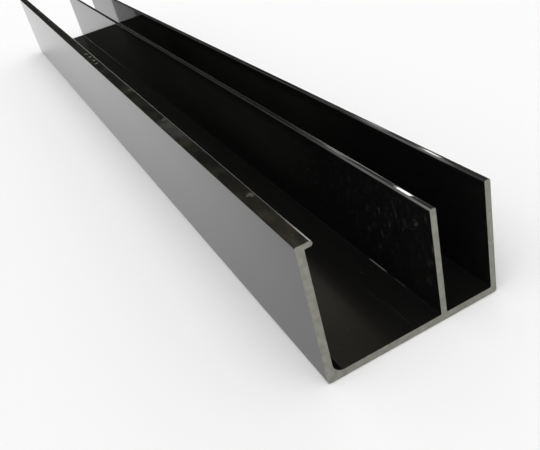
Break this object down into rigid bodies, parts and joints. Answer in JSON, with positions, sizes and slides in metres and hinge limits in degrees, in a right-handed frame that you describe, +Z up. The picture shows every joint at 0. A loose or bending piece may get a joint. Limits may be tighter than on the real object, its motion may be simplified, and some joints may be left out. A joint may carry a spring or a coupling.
{
  "type": "aluminium extrusion profile",
  "caption": "Gloss black aluminium extrusion with an E-shaped section: a flat base, a tall leg with an inturned lip, a divider and a plain leg, forming a wide and a narrow channel.",
  "frame": {"origin": "middle of the resting face under the base", "axes": "+Y along the extrusion, +Z up from the base to the tops of the legs, +X from the lipped leg to the plain leg"},
  "size_m": [0.06, 0.5, 0.047],
  "materials": {
    "black_aluminium": "gloss black anodised, with bare saw-cut ends"
  },
  "bodies": {
    "root": {"profile": "black_aluminium"}
  },
  "joints": []
}
